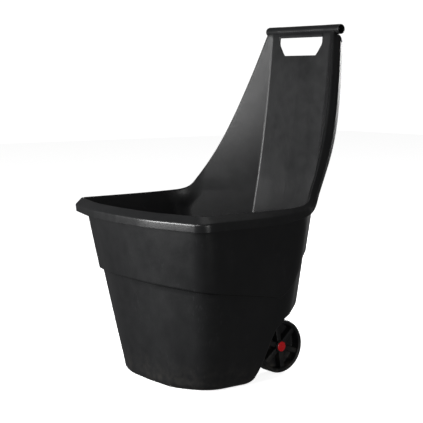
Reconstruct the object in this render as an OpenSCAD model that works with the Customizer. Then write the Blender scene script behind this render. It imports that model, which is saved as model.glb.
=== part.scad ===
// Garden cart: a one-piece moulded bucket that runs up at the back into a pull handle, and
// stands on its own base. Two small wheels turn on a steel axle in the lower rear corners.
// Millimetres. +X is the cart's right side, +Y is the rear with the handle, +Z is up.
// The origin is on the floor, under the middle of the cart.

/* [Overall] */
// Width over the rolled rim
cart_w = 552; // [450:1:640]
// Length from the front of the rim to the back of the handle
cart_l = 584; // [500:1:700]
// Height of the top of the handle
cart_h = 840; // [720:1:1010]

/* [Bucket] */
// Height of the top of the rim
rim_h = 417; // [370:1:470]
// Width of the bottom, measured on the side walls
base_w = 361; // [320:1:400]
// How far the bottom's front edge stands back from the rim's
front_rake = 85; // [60:1:110]
// Distance from the rim's rearmost side corner to the back of the cart
shoulder_back = 215; // [180:1:235]
// Half of the width of the flat front of the rim
front_flat = 112; // [90:1:130]
// Half of the width of the flat back panel
panel_flat = 111; // [95:1:125]
// Wall thickness
wall = 2.5; // [2:0.1:4]
// Depth of the shoulder that runs round the bucket
shoulder_d = 5; // [3:0.1:9]
// Height of that shoulder at the front
shoulder_z = 252; // [235:1:290]
// How far the shoulder falls along the side before it sweeps up round the rear
shoulder_dip = 42; // [0:1:50]
// Rounding of the bottom edge
base_round = 18; // [10:0.5:26]

/* [Rim] */
// How far the rolled rim stands out from the wall
lip_w = 23; // [14:0.5:26]
// How far it stands out along the rising side rails
rail_w = 30; // [12:0.5:32]
// Height of the rim's skirt
skirt_h = 30; // [18:0.5:36]

/* [Handle] */
// Diameter of the grip tube
grip_d = 24; // [22:0.5:30]
// Length of the grip tube
grip_l = 274; // [270:1:300]
// Bore of the grip tube at its open ends
grip_bore_d = 19; // [10:0.5:19]
// Depth of that bore
grip_bore_l = 18; // [6:0.5:30]
// Width of the hand hole at its top
hand_w = 161; // [130:1:180]
// Width of the hand hole at its bottom
hand_low_w = 118; // [90:1:140]
// Height of the hand hole
hand_h = 51; // [34:1:60]

/* [Wheels] */
// Wheel diameter
wheel_d = 130; // [110:1:140]
// Wheel width
wheel_w = 37; // [28:0.5:40]
// Distance between the two wheels' inner faces
track_in = 190; // [180:1:250]
// Distance from the axle to the back of the cart
axle_back = 191; // [170:1:215]
// Axle diameter
axle_d = 10; // [8:0.5:12]
// Number of spokes
spokes = 6; // [5:1:8]
// Width of a spoke
spoke_w = 14; // [8:0.5:18]
// Diameter of the red hub cap
cap_d = 24; // [22:0.5:30]
// Radial running clearance on the axle
run_fit = 0.08; // [0.04:0.01:0.15]
// Clearance between a wheel and the bucket beside it
wheel_gap = 6; // [4:0.5:10]

/* [Hidden] */
$fn = 64;

// The rails stand out behind the grip, so the middle of the whole cart lies this far back
rails_behind = 6.1;
front_y = -cart_l / 2 - rails_behind;
rear_y = cart_l / 2 - rails_behind;
axle_y = rear_y - axle_back;
axle_z = wheel_d / 2;
axle_r = axle_d / 2;
charcoal = [0.13, 0.13, 0.14];

// --- Plain helpers -------------------------------------------------------------------------
function lerp(a, b, t) = a + (b - a) * t;
function clamp01(t) = min(1, max(0, t));
function smooth(t) = let (c = clamp01(t)) c * c * (3 - 2 * c);
function bump(t) = exp(-t * t);
function bend(a, b, c, t) = (1 - t) * (1 - t) * a + 2 * t * (1 - t) * b + t * t * c;
function unit(v) = v / max(norm(v), 1e-9);
function toward(a, b, d) = a + unit(b - a) * d;

// --- Plan outline of the bucket at a height -------------------------------------------------
// The outline is an octagon in plan: front, front bevel, side, rear bevel and back panel.
// Its corners are a (front), b (front of the side), c (rear of the side) and d (back panel).
rail_top = cart_h - 15;
wall_top_x = cart_w / 2 - lip_w;
base_x = base_w / 2;
bevel_l = 44;
base_bevel_l = 46;
shoulder_c_y = rear_y - shoulder_back;
panel_rim_y = rear_y - 73;
panel_top_y = rear_y - 19;
panel_draft = 0.19;
side_bulge = 0.34;
base_flat = 96;
corner_start = 33;
corner_sweep = 130;
sweep_fade = 265;
shoulder_lift = 38;

function rise(z) = clamp01((z - base_round) / (rim_h - base_round));
function bulged(z, k) = let (t = rise(z)) t + k * t * (1 - t);
function front_at(z) = lerp(front_y + front_rake - 2, front_y + lip_w, bulged(z, 0));
function side_at(z) = lerp(base_x, wall_top_x, bulged(z, side_bulge));
function panel_at(z) = z < rim_h ? panel_rim_y - panel_draft * (rim_h - z)
    : let (s = (z - rim_h) / (rail_top - rim_h), a = panel_draft * (rail_top - rim_h))
        panel_rim_y + a * s + (panel_top_y - panel_rim_y - a) * s * s;
function corner_rise(z) = let (q = z - rim_h - corner_start) (q + sqrt(q * q + 200)) / 2;
function corner_a(z, in) = [lerp(base_flat, front_flat, rise(z)) - 0.3 * in, front_at(z) + 4 + in];
function corner_b(z, in) = [side_at(z) - in,
    front_at(z) + lerp(base_bevel_l, bevel_l, rise(z)) + 1.6 * in];
function corner_c(z, in) = [side_at(z) - in, shoulder_c_y - 0.06 * max(0, rim_h - z)
    + corner_sweep * (1 - exp(-corner_rise(z) / sweep_fade)) - 0.4 * in];
function corner_d(z, in) = [panel_flat - 0.3 * in, panel_at(z) - in];
function middle_e(z, in) = [0, panel_at(z) + 1 - in];

// --- Wheel bays: the lower rear corners are cut away round the wheels ------------------------
box_x = track_in / 2 - wheel_gap;
bay_roof = wheel_d + 19;
box_floor = 30;
box_back_y = axle_y + 30;
bay_front_y = axle_y - wheel_d / 2 - 53;
function bay_y(z) = bay_front_y + lookup(z / bay_roof,
    [[0, 0], [0.2, 18], [0.5, 34], [0.75, 45], [0.92, 60], [1, 78]]);

// --- Columns: the same stations round every outline, from the front middle to the back middle
n_front = 3;
n_turn = 4;
n_side = 7;
n_bevel = 14;
n_panel = 4;
col_a = n_front;
col_b = col_a + n_turn + 2;
col_side = col_b + n_turn;
col_c = col_side + n_side;
col_d = col_c + n_bevel;
col_e = col_d + n_panel;
a_cut = 34;
// The front corner of the side is round on the wall and sharper under the rim
function b_cut(z) = lerp(38, 12, smooth((z - rim_h + 42) / 42));
// The rear corner is the other way about: the rim cuts across it in a wider curve
function c_cut(z) = lerp(28, 60, smooth((z - rim_h + 50) / 50));

// A point on the run b-c-d, with the corner c rounded by cut; along is the distance past c
function past_c(b, c, d, along, cut) = abs(along) >= cut
    ? (along < 0 ? toward(c, b, -along) : toward(c, d, along))
    : bend(toward(c, b, cut), c, toward(c, d, cut), (along + cut) / (2 * cut));
function side_fraction(i) = let (t = (i - col_side) / n_side) t * (1.35 - 0.35 * t);

function front_point(i, z, in) =
    let (a = corner_a(z, in), b = corner_b(z, in), c = corner_c(z, in),
        f = [0, front_at(z) + in])
    i <= col_a ? lerp(f, toward(a, f, a_cut), i / n_front)
    : i <= col_a + n_turn
        ? bend(toward(a, f, a_cut), a, toward(a, b, a_cut), (i - col_a) / n_turn)
    : i <= col_b
        ? lerp(toward(a, b, a_cut), toward(b, a, b_cut(z)), (i - col_a - n_turn) / 2)
    : bend(toward(b, a, b_cut(z)), b, toward(b, c, b_cut(z)), (i - col_b) / n_turn);

function full_point(i, z, in) =
    let (b = corner_b(z, in), c = corner_c(z, in), d = corner_d(z, in),
        start = toward(b, c, b_cut(z)))
    i <= col_side ? front_point(i, z, in)
    : i <= col_c ? past_c(b, c, d, -norm(c - start) * (1 - side_fraction(i)), c_cut(z))
    : i < col_d ? past_c(b, c, d, norm(d - c) * (i - col_c) / n_bevel, c_cut(z))
    : lerp(d, middle_e(z, in), (i - col_d) / n_panel);

// The bay outline: side wall to the arch, across to the axle box, along it and round its back
bay_turn = 9;
function bay_point(i, z, in, boxed) =
    let (b = corner_b(z, in), start = toward(b, corner_c(z, in), b_cut(z)),
        p1 = [side_at(z) - in, bay_y(z) - in], p2 = [box_x, bay_y(z) - in],
        p3 = boxed ? [box_x, box_back_y] : [box_x - 16, bay_y(z) - in],
        e = [0, p3[1]], j = i - col_c)
    i <= col_side ? front_point(i, z, in)
    : i < col_c ? lerp(start, toward(p1, b, bay_turn), side_fraction(i) / side_fraction(col_c - 1))
    : j == 0 ? bend(toward(p1, b, bay_turn), p1, toward(p1, p2, bay_turn), 0.5)
    : j <= 5 ? lerp(toward(p1, p2, bay_turn), toward(p2, p1, boxed ? bay_turn : 2), (j - 1) / 4)
    : j == 6 ? bend(toward(p2, p1, boxed ? bay_turn : 2), p2, toward(p2, p3, boxed ? bay_turn : 2), 0.5)
    : j <= 12
        ? lerp(toward(p2, p3, boxed ? bay_turn : 2), toward(p3, p2, boxed ? bay_turn : 2), (j - 7) / 5)
    : j == 13 ? bend(toward(p3, p2, boxed ? bay_turn : 2), p3, toward(p3, e, bay_turn), 0.5)
    : lerp(toward(p3, e, bay_turn), e, (i - col_d) / n_panel);

// --- Top edge: level round the bucket, then climbing the rear bevel to the handle -------------
rail_run = 194;
rail_end = 0.912;
rail_start = 0.154;
rail_soft = 50;
rail_sag = 7;
function rail_z(reach) =
    let (l = (rail_top - rim_h) * (reach - rail_start) / (rail_end - rail_start))
    rim_h - 1 + (l + sqrt(l * l + rail_soft * rail_soft)) / 2 - rail_sag * bump((reach - 0.37) / 0.17);
function reach_of(i) = i >= col_c ? (i - col_c) / n_bevel
    : (full_point(i, rim_h, 0)[1] - shoulder_c_y) / rail_run;
function top_z(i) = min(rail_top, rail_z(reach_of(i)));

// --- Shoulder height: falls a little along the side, then sweeps up round the rear ------------
function shoulder_at(i) =
    let (y = full_point(min(i, col_c), shoulder_z, 0)[1],
        along = clamp01((y - front_y - 45) / (shoulder_c_y - front_y - 95)))
    shoulder_z - shoulder_dip * along
        + (shoulder_dip + shoulder_lift) * smooth((reach_of(i) + 0.32) / 0.62);

// --- Rows: [height, kind, rounding]; kind 0 below the axle box, 1 beside it, 2 above the bays --
low_rows = [
    [0, 0, base_round], [0.3 * base_round, 0, 0.3 * base_round], [base_round, 0, 0],
    [box_floor - 1, 0, 0], [box_floor + 1, 1, 0],
    [0.5 * bay_roof, 1, 0], [0.75 * bay_roof, 1, 0], [0.92 * bay_roof, 1, 0],
    [bay_roof - 1, 1, 0], [bay_roof + 1, 2, 12], [bay_roof + 5, 2, 4], [bay_roof + 16, 2, 0]];
n_low = len(low_rows);
n_high = 9;
n_rows = n_low + 2 + n_high;

function low_point(i, row) =
    let (z = row[0], ease = row[1] == 2 ? clamp01((i - col_c + 1) / 2) : 1,
        in = shoulder_d + row[2] * ease,
        p = row[1] == 2 ? full_point(i, z, in) : bay_point(i, z, in, row[1] == 1))
    [p[0], p[1], z];
function high_point(i, r) =
    let (s = shoulder_at(i), z = r == 0 ? s - 5 : lerp(s, top_z(i), (r - 1) / n_high),
        p = full_point(i, z, r == 0 ? shoulder_d : 0))
    [p[0], p[1], z];
half = [for (r = [0 : n_rows - 1])
    [for (i = [0 : col_e]) r < n_low ? low_point(i, low_rows[r]) : high_point(i, r - n_low)]];

// --- The whole ring of points, mirrored, with normals worked out from its neighbours ----------
n_ring = 2 * col_e;
function at(r, i) = let (k = (i + n_ring) % n_ring, p = half[r][k <= col_e ? k : n_ring - k])
    k <= col_e ? p : [-p[0], p[1], p[2]];
function along_ring(r, i) = at(r, i + 1) - at(r, i - 1);
function up_wall(r, i) = at(min(r + 1, n_rows - 1), i) - at(max(r - 1, 0), i);
function out_normal(r, i) = unit(cross(along_ring(r, i), up_wall(r, i)));

// Rim section: [distance out from the wall, distance down from the edge]. It is widest round the
// bucket, pinches in at the rear corner, widens up the rails and ends smaller under the grip.
pinch_w = 14;
rail_end_w = 0.62;
function up_rail(g) = smooth((g - 0.05) / 0.5);
function at_end(g) = smooth((g - rail_end) / 0.07);
function lip_out(g) = lerp(lerp(lip_w, pinch_w, smooth((g + 0.75) / 0.75)), rail_w, up_rail(g))
    * lerp(1, rail_end_w, at_end(g));
function lip_down(g) = skirt_h
    * lerp(1 - 0.2 * smooth((g + 0.5) / 0.5) * (1 - up_rail(g)), 0.35, at_end(g));
function ridge_out(g) = lerp(0.9, 0.72, smooth(g + 1));
// Sloping top, ridge, steep skirt; then the same again a wall's thickness inside
ridge_down = 0.42;
function lip_section(i) =
    let (g = reach_of(min(i, n_ring - i)), w = lip_out(g), s = lip_down(g), k = ridge_out(g))
    [[0, wall + 2], [(k - 0.02) * w - 0.75 * wall, ridge_down * s + 0.9 * wall], [w - wall, s], [w, s],
    [k * w, ridge_down * s], [0.12 * w, 0.5], [-0.4 * wall, 0.8], [-wall, 5]];
n_lip = 8;
function lip_point(i, j) =
    let (r = n_rows - 1, n = out_normal(r, i), along = unit(along_ring(r, i)),
        down = cross(along, n) * (cross(along, n) * up_wall(r, i) > 0 ? -1 : 1),
        q = lip_section(i)[j])
    at(r, i) + n * q[0] + down * q[1];

outer_points = [for (r = [0 : n_rows - 2]) for (i = [0 : n_ring - 1]) at(r, i)];
lip_points = [for (j = [0 : n_lip - 1]) for (i = [0 : n_ring - 1]) lip_point(i, j)];
inner_points = [for (r = [n_rows - 2 : -1 : 0]) for (i = [0 : n_ring - 1])
    at(r, i) - wall * out_normal(r, i)];
base_mid_y = (front_at(0) + base_round + bay_front_y) / 2;
shell_points = concat(outer_points, lip_points, inner_points,
    [[0, base_mid_y, 0], [0, base_mid_y, wall]]);
n_rings = 2 * (n_rows - 1) + n_lip;
shell_faces = concat(
    [for (r = [0 : n_rings - 2]) for (i = [0 : n_ring - 1]) let (k = (i + 1) % n_ring)
        [r * n_ring + i, (r + 1) * n_ring + i, (r + 1) * n_ring + k]],
    [for (r = [0 : n_rings - 2]) for (i = [0 : n_ring - 1]) let (k = (i + 1) % n_ring)
        [r * n_ring + i, (r + 1) * n_ring + k, r * n_ring + k]],
    [for (i = [0 : n_ring - 1]) [n_rings * n_ring, i, (i + 1) % n_ring]],
    [for (i = [0 : n_ring - 1]) let (o = (n_rings - 1) * n_ring)
        [n_rings * n_ring + 1, o + (i + 1) % n_ring, o + i]]);

// --- Parts ------------------------------------------------------------------------------------
grip_y = rear_y - grip_d / 2;
grip_z = cart_h - grip_d / 2;
hand_top = grip_z - grip_d / 2 + 0.5;
tunnel_r = axle_r + 4;

module across(length, r, x = 0, y = axle_y, z = axle_z) {
    translate([x, y, z]) rotate([0, 90, 0]) cylinder(h = length, r = r, center = true);
}

module hand_hole() {
    mid = hand_top - hand_h * 0.45;
    low = hand_top - hand_h;
    translate([0, rear_y + 5, 0]) rotate([90, 0, 0]) linear_extrude(60)
        polygon([[-hand_w / 2, hand_top], [-hand_w / 2, mid], [-hand_low_w / 2, low],
            [hand_low_w / 2, low], [hand_w / 2, mid], [hand_w / 2, hand_top]]);
}

module tub() {
    color(charcoal) difference() {
        union() {
            difference() {
                polyhedron(points = shell_points, faces = shell_faces, convexity = 12);
                hand_hole();
            }
            across(grip_l, grip_d / 2, 0, grip_y, grip_z);
            across(2 * box_x - 2, tunnel_r);
        }
        for (s = [-1, 1])
            across(2 * grip_bore_l, grip_bore_d / 2, s * grip_l / 2, grip_y, grip_z);
        across(2 * box_x + 20, axle_r + run_fit);
    }
}

// Both ends of the axle carry the same stack, mirrored: washer, wheel, washer, push nut, cap
washer_t = 1.5;
washer_r = axle_r + 5;
nut_t = 0.6;
nut_dish = 1.4;
part_gap = 0.3;
wheel_in_x = track_in / 2;
wheel_out_x = wheel_in_x + wheel_w;
inner_washer_x = box_x + part_gap;
hub_r = 15;
hub_recess = 7;
hub_face_x = wheel_out_x - hub_recess;
outer_washer_x = hub_face_x + part_gap;
nut_x = outer_washer_x + washer_t + part_gap;
axle_end_x = nut_x + 3;
// The cap always covers the washer in its recess
cap_r = max(cap_d / 2, washer_r + 2);
tread_h = 1.2;
rim_ring = 11;
web_t = 4;
web_x = wheel_in_x + 9;
boss_x = inner_washer_x + washer_t + part_gap;

// A ring round the axle line, given by its inside and outside radius and where it starts
module ring(x, length, inside, outside) {
    translate([x, axle_y, axle_z]) rotate([0, 90, 0]) difference() {
        cylinder(h = length, r = outside);
        translate([0, 0, -1]) cylinder(h = length + 2, r = inside);
    }
}

module axle() {
    color("silver") translate([0, axle_y, axle_z]) rotate([0, 90, 0]) union() {
        cylinder(h = 2 * axle_end_x - 2, r = axle_r, center = true);
        for (s = [0, 1]) mirror([0, 0, s]) translate([0, 0, axle_end_x - 1])
            cylinder(h = 1, r1 = axle_r, r2 = axle_r - 1);
    }
}

module washers_inner() {
    for (s = [0, 1]) mirror([s, 0, 0])
        color("silver") ring(inner_washer_x, washer_t, axle_r + run_fit, washer_r);
}

module washers_outer() {
    for (s = [0, 1]) mirror([s, 0, 0])
        color("silver") ring(outer_washer_x, washer_t, axle_r + run_fit, washer_r);
}

// Wheel: a tyre ring, a web set back from its face, radial spokes and a recessed hub
module wheel() {
    ring_in = axle_z - rim_ring;
    color(charcoal) translate([wheel_in_x, axle_y, axle_z]) rotate([0, 90, 0]) difference() {
        union() {
            rotate_extrude() polygon([[ring_in, 0], [axle_z - 3, 0], [axle_z, 3],
                [axle_z, wheel_w - 4], [axle_z - 2, wheel_w - 1], [axle_z - 4, wheel_w],
                [ring_in + 2, wheel_w], [ring_in, wheel_w - 2]]);
            translate([0, 0, web_x - wheel_in_x]) cylinder(h = web_t, r = ring_in + 1);
            translate([0, 0, boss_x - wheel_in_x])
                cylinder(h = wheel_out_x - boss_x - 1, r = hub_r);
            for (k = [0 : spokes - 1]) rotate([0, 0, 360 * k / spokes + 170])
                translate([0, -spoke_w / 2, web_x - wheel_in_x + 1])
                    cube([ring_in + 1, spoke_w, wheel_w - (web_x - wheel_in_x) - 4]);
        }
        translate([0, 0, -wheel_gap]) cylinder(h = wheel_w + 2 * wheel_gap, r = axle_r + run_fit);
        translate([0, 0, wheel_w - hub_recess]) cylinder(h = hub_recess + 1, r = cap_r - 1.5);
    }
}

module wheel_right() {
    wheel();
}

module wheel_left() {
    mirror([1, 0, 0]) wheel();
}

// Push nut: a dished spring ring gripping the axle's end
module push_nut() {
    color("gray") translate([nut_x, axle_y, axle_z]) rotate([0, 90, 0]) rotate_extrude()
        polygon([[axle_r + 3.5, 0], [axle_r + 3.5, nut_t], [axle_r + 2, nut_t],
            [axle_r, nut_dish + nut_t], [axle_r, nut_dish], [axle_r + 2, 0]]);
}

module push_nut_right() {
    push_nut();
}

module push_nut_left() {
    mirror([1, 0, 0]) push_nut();
}

// Hub cap: a shallow red button whose skirt snaps into the hub recess
cap_dome = 2.5;
cap_skirt = hub_recess - 3.5;
module hub_cap() {
    color("red") translate([wheel_out_x - 1, axle_y, axle_z]) rotate([0, 90, 0])
        rotate_extrude() polygon(concat([[0, 1.2]],
            [[cap_r - 3.2, 1.2], [cap_r - 3.2, -cap_skirt], [cap_r - 1.5, -cap_skirt],
            [cap_r - 1.5, 0], [cap_r, 0], [cap_r, 1]],
            [for (k = [1 : 5]) [cap_r * cos(90 * k / 5), 1 + cap_dome * sin(90 * k / 5)]]));
}

module hub_cap_right() {
    hub_cap();
}

module hub_cap_left() {
    mirror([1, 0, 0]) hub_cap();
}

tub();
axle();
washers_inner();
washers_outer();
wheel_left();
wheel_right();
push_nut_left();
push_nut_right();
hub_cap_left();
hub_cap_right();
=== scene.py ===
# %% [markdown]
# # A one-piece garden cart
#
# The cart is one deep plastic bucket whose back runs up into a scoop and ends in a pull
# handle. It stands on its own flat base, and two small wheels turn on a steel axle in the
# lower rear corners, ready for when the cart is tipped back.
#
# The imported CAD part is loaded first. It fixes every size and place. Blender then adds
# smoother, finer versions of the pieces that show, and the finish of each material.

import math

import bpy
import numpy as np
from mathutils import Euler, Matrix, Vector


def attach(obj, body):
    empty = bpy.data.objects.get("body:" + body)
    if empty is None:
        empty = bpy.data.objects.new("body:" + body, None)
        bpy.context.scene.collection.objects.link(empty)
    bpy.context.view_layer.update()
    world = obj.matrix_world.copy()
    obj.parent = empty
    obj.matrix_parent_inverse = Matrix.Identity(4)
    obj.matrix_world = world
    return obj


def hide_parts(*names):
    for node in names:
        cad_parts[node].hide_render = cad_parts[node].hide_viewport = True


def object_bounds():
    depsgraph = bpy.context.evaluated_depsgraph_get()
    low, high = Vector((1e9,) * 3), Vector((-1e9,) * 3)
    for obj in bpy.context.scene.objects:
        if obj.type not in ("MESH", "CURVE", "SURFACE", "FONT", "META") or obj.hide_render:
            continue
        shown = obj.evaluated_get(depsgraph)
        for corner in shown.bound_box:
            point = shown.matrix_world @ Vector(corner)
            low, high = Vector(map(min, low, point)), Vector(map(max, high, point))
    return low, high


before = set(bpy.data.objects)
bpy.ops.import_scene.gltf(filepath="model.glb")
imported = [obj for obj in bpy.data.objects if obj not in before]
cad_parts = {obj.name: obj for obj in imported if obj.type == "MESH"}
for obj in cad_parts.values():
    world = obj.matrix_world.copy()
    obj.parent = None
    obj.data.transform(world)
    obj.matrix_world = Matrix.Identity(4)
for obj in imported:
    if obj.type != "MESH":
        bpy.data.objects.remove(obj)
cad_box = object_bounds()
print("nodes:", sorted(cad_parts))
print("CAD box:", [[round(float(v), 4) for v in corner] for corner in cad_box])

# %% [markdown]
# ## Camera
#
# The cart is seen from its front right corner, a little above the rim. A long lens keeps
# the sides nearly parallel, so the bucket doesn't swell towards the viewer. The camera
# comes before the pieces, so that every later step can be looked at in the same framing.

# %% Set the camera
camera_data = bpy.data.cameras.new("studio_camera")
camera_data.sensor_width = 36.0
camera_data.lens = 96.73
camera_data.clip_end = 60.0
camera = bpy.data.objects.new("studio_camera", camera_data)
camera.location = (2.183, -1.6541, 0.711)
camera.rotation_euler = Euler((math.radians(83.27), 0.0, math.radians(53.15)))
bpy.context.scene.collection.objects.link(camera)
bpy.context.scene.camera = camera
print("camera lens:", camera_data.lens, "mm")

# %% [markdown]
# ## Small helpers for surfaces
#
# Every piece below is a grid of points worked out with numpy. A grid that closes on
# itself in one direction is a tube, and a tube whose ends are closed is a solid. Working
# with whole arrays is quick, and the formula for each shape stays readable.


# %% Helpers for blending and rounding
def lerp(a, b, t):
    """Straight blend: a at t = 0, b at t = 1."""
    return a + (b - a) * t


def clamp01(t):
    """t, held between 0 and 1."""
    return np.clip(t, 0.0, 1.0)


def smooth(t):
    """Soft step 3t^2 - 2t^3 between 0 and 1."""
    c = clamp01(t)
    return c * c * (3 - 2 * c)


def bump(t):
    """Bell exp(-t^2)."""
    return np.exp(-t * t)


def unit(v):
    """Each vector divided by its own length."""
    return v / np.maximum(np.linalg.norm(v, axis=-1, keepdims=True), 1e-9)


def toward(a, b, d):
    """The point at distance d from a on the way to b."""
    return a + unit(b - a) * np.asarray(d)[..., None]


def bend(a, b, c, t):
    """Quadratic curve from a to c, pulled towards b."""
    t = np.asarray(t)[..., None]
    return (1 - t) ** 2 * a + 2 * t * (1 - t) * b + t * t * c


def mix_points(a, b, t):
    """Straight blend of two point arrays by an array of fractions."""
    return a + (b - a) * np.asarray(t)[..., None]


print("soft step at a quarter:", float(smooth(0.25)))


# %% Helpers that turn arrays into a mesh object
def grid_quads(rows, columns, start=0):
    """Four-sided faces between neighbouring points of a grid of closed rings, stored ring by ring."""
    r, c = np.meshgrid(np.arange(rows - 1), np.arange(columns), indexing="ij")
    n = (c + 1) % columns
    here, above = r * columns, (r + 1) * columns
    return np.stack([here + c, here + n, above + n, above + c], -1).reshape(-1, 4) + start


def add_piece(name, points_mm, quads, fans=()):
    """Makes a mesh object from points in millimetres, quads, and fans of triangles.

    A fan is (pole index, ring of indices): it closes the end of a tube.
    """
    triangles = [np.stack([np.roll(ring, -1), ring, np.full(len(ring), pole)], -1)
                 for pole, ring in fans]
    faces = [quads] + triangles
    loops = np.concatenate([f.reshape(-1) for f in faces]).astype(np.int32)
    sizes = np.concatenate([np.full(len(f), f.shape[1]) for f in faces]).astype(np.int32)
    mesh = bpy.data.meshes.new(name)
    mesh.vertices.add(len(points_mm))
    mesh.vertices.foreach_set("co", (points_mm / 1000.0).astype(np.float32).reshape(-1))
    mesh.loops.add(len(loops))
    mesh.loops.foreach_set("vertex_index", loops)
    mesh.polygons.add(len(sizes))
    starts = np.concatenate([[0], np.cumsum(sizes)[:-1]])
    mesh.polygons.foreach_set("loop_start", starts.astype(np.int32))
    mesh.polygons.foreach_set("use_smooth", np.ones(len(sizes), bool))
    mesh.update(calc_edges=True)
    mesh.validate()
    piece = bpy.data.objects.new(name, mesh)
    bpy.context.scene.collection.objects.link(piece)
    return piece


def face_outwards(piece):
    """Turns the whole mesh inside out if its signed volume is negative."""
    mesh = piece.data
    mesh.calc_loop_triangles()
    tri = np.empty(len(mesh.loop_triangles) * 3, np.int32)
    mesh.loop_triangles.foreach_get("vertices", tri)
    co = np.empty(len(mesh.vertices) * 3, np.float32)
    mesh.vertices.foreach_get("co", co)
    a, b, c = np.moveaxis(co.reshape(-1, 3)[tri.reshape(-1, 3)], 1, 0)
    volume = float(np.einsum("ij,ij->i", a, np.cross(b, c)).sum() / 6)
    if volume < 0:
        mesh.flip_normals()
    return abs(volume)


# %% [markdown]
# ## The bucket's outline
#
# Seen from above the bucket is an eight-sided ring: front, two front bevels, two sides,
# two rear bevels and the back panel. Four corner points, a to d, say where those walls
# meet at any height, and each corner is rounded by its own amount. The corner points
# drift outwards with height, which gives the moulding its draft, so it can leave its
# mould and stack inside another. One formula for the whole wall keeps the bevels fair.

# %% Sizes of the bucket, in millimetres
cart_h = 1000 * cad_box[1][2]
rim_h, base_w, front_rake, shoulder_back = 417.0, 361.0, 85.0, 215.0
front_flat, panel_flat, wall = 112.0, 111.0, 2.5
front_y, rear_y = -298.1, 285.9
shoulder_d, shoulder_z, shoulder_dip, shoulder_lift = 5.0, 252.0, 42.0, 38.0
base_round, lip_w, rail_w, skirt_h = 18.0, 23.0, 30.0, 30.0
grip_d, grip_l, grip_bore_d, grip_bore_l = 24.0, 274.0, 19.0, 18.0
hand_w, hand_low_w, hand_h = 161.0, 118.0, 51.0
wheel_d, wheel_w, track_in, axle_back, axle_d, wheel_gap = 130.0, 37.0, 190.0, 191.0, 10.0, 6.0
axle_y, axle_z = rear_y - axle_back, wheel_d / 2
rail_top = 825.0
wall_top_x, base_x = 253.0, base_w / 2
bevel_l, base_bevel_l, base_flat = 44.0, 46.0, 96.0
shoulder_c_y = rear_y - shoulder_back
panel_rim_y, panel_top_y, panel_draft = rear_y - 73, rear_y - 19, 0.19
side_bulge, corner_start, corner_sweep, sweep_fade = 0.34, 33.0, 130.0, 265.0
rail_run, rail_start, rail_end, rail_soft, rail_sag = 194.0, 0.154, 0.912, 50.0, 7.0
a_cut, d_cut = 34.0, 3.5
print("axle at y", axle_y, "z", axle_z)


# %% Walls of the bucket at a height
def rise(z):
    """Height as a fraction: 0 at the base rounding, 1 at the rim."""
    return clamp01((z - base_round) / (rim_h - base_round))


def front_at(z):
    """How far forward the front wall is: a straight draft."""
    return lerp(front_y + front_rake - 2, front_y + lip_w, rise(z))


def side_at(z):
    """Half-width at the side wall: a draft with a slight outward bow."""
    t = rise(z)
    return lerp(base_x, wall_top_x, t + side_bulge * t * (1 - t))


def panel_at(z):
    """Where the back panel is: straight below the rim, then curving upright to the handle."""
    s = (z - rim_h) / (rail_top - rim_h)
    a = panel_draft * (rail_top - rim_h)
    return np.where(z < rim_h, panel_rim_y - panel_draft * (rim_h - z),
                    panel_rim_y + a * s + (panel_top_y - panel_rim_y - a) * s * s)


def b_cut(z):
    """Rounding of corner b: generous on the wall, tight under the rim."""
    return lerp(38.0, 12.0, smooth((z - rim_h + 42) / 42))


def c_cut(z):
    """Rounding of corner c: the rim cuts across it in a wider curve than the wall."""
    return lerp(28.0, 60.0, smooth((z - rim_h + 50) / 50))


def corners(z, inset):
    """Plan positions of corners a, b, c, d and the middle of the back, at height z."""
    q = z - rim_h - corner_start
    up = (q + np.sqrt(q * q + 200)) / 2
    a = np.stack([lerp(base_flat, front_flat, rise(z)) - 0.3 * inset,
                  front_at(z) + 4 + inset], -1)
    b = np.stack([side_at(z) - inset,
                  front_at(z) + lerp(base_bevel_l, bevel_l, rise(z)) + 1.6 * inset], -1)
    c = np.stack([side_at(z) - inset, shoulder_c_y - 0.06 * np.maximum(0, rim_h - z)
                  + corner_sweep * (1 - np.exp(-up / sweep_fade)) - 0.4 * inset], -1)
    d = np.stack([panel_flat - 0.3 * inset + 0 * z, panel_at(z) - inset], -1)
    e = np.stack([0 * z, panel_at(z) + 1 - inset], -1)
    f = np.stack([0 * z, front_at(z) + inset], -1)
    return a, b, c, d, e, f


# %% [markdown]
# ## Stations round the bucket
#
# The wall is measured at the same stations at every height, from the front middle round
# to the back middle, and mirrored. Keeping the stations in step from ring to ring means
# that a fold stays on one column of the grid all the way up, so it stays crisp.

# %% Stations and the closed outline
n_front, n_turn, n_flat, n_side, n_bevel, n_panel = 10, 12, 8, 36, 98, 40
col_a = n_front
col_b = col_a + n_turn + n_flat
col_side = col_b + n_turn
col_c = col_side + n_side
col_d = col_c + n_bevel
col_e = col_d + n_panel
station = np.arange(col_e + 1.0)


def side_fraction(i):
    """Stations along the side, closer together towards the rear."""
    t = (i - col_side) / n_side
    return t * (1.35 - 0.35 * t)


def past_c(b, c, d, along, cut):
    """A point at a distance along the run b-c-d, with corner c rounded."""
    turn = clamp01((along + cut) / (2 * cut))
    rounded_part = bend(toward(c, b, cut), c, toward(c, d, cut), turn)
    before = toward(c, b, np.maximum(-along, 0))
    after = toward(c, d, np.maximum(along, 0))
    return np.select([(along <= -cut)[..., None], (along >= cut)[..., None]],
                     [before, after], rounded_part)


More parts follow.
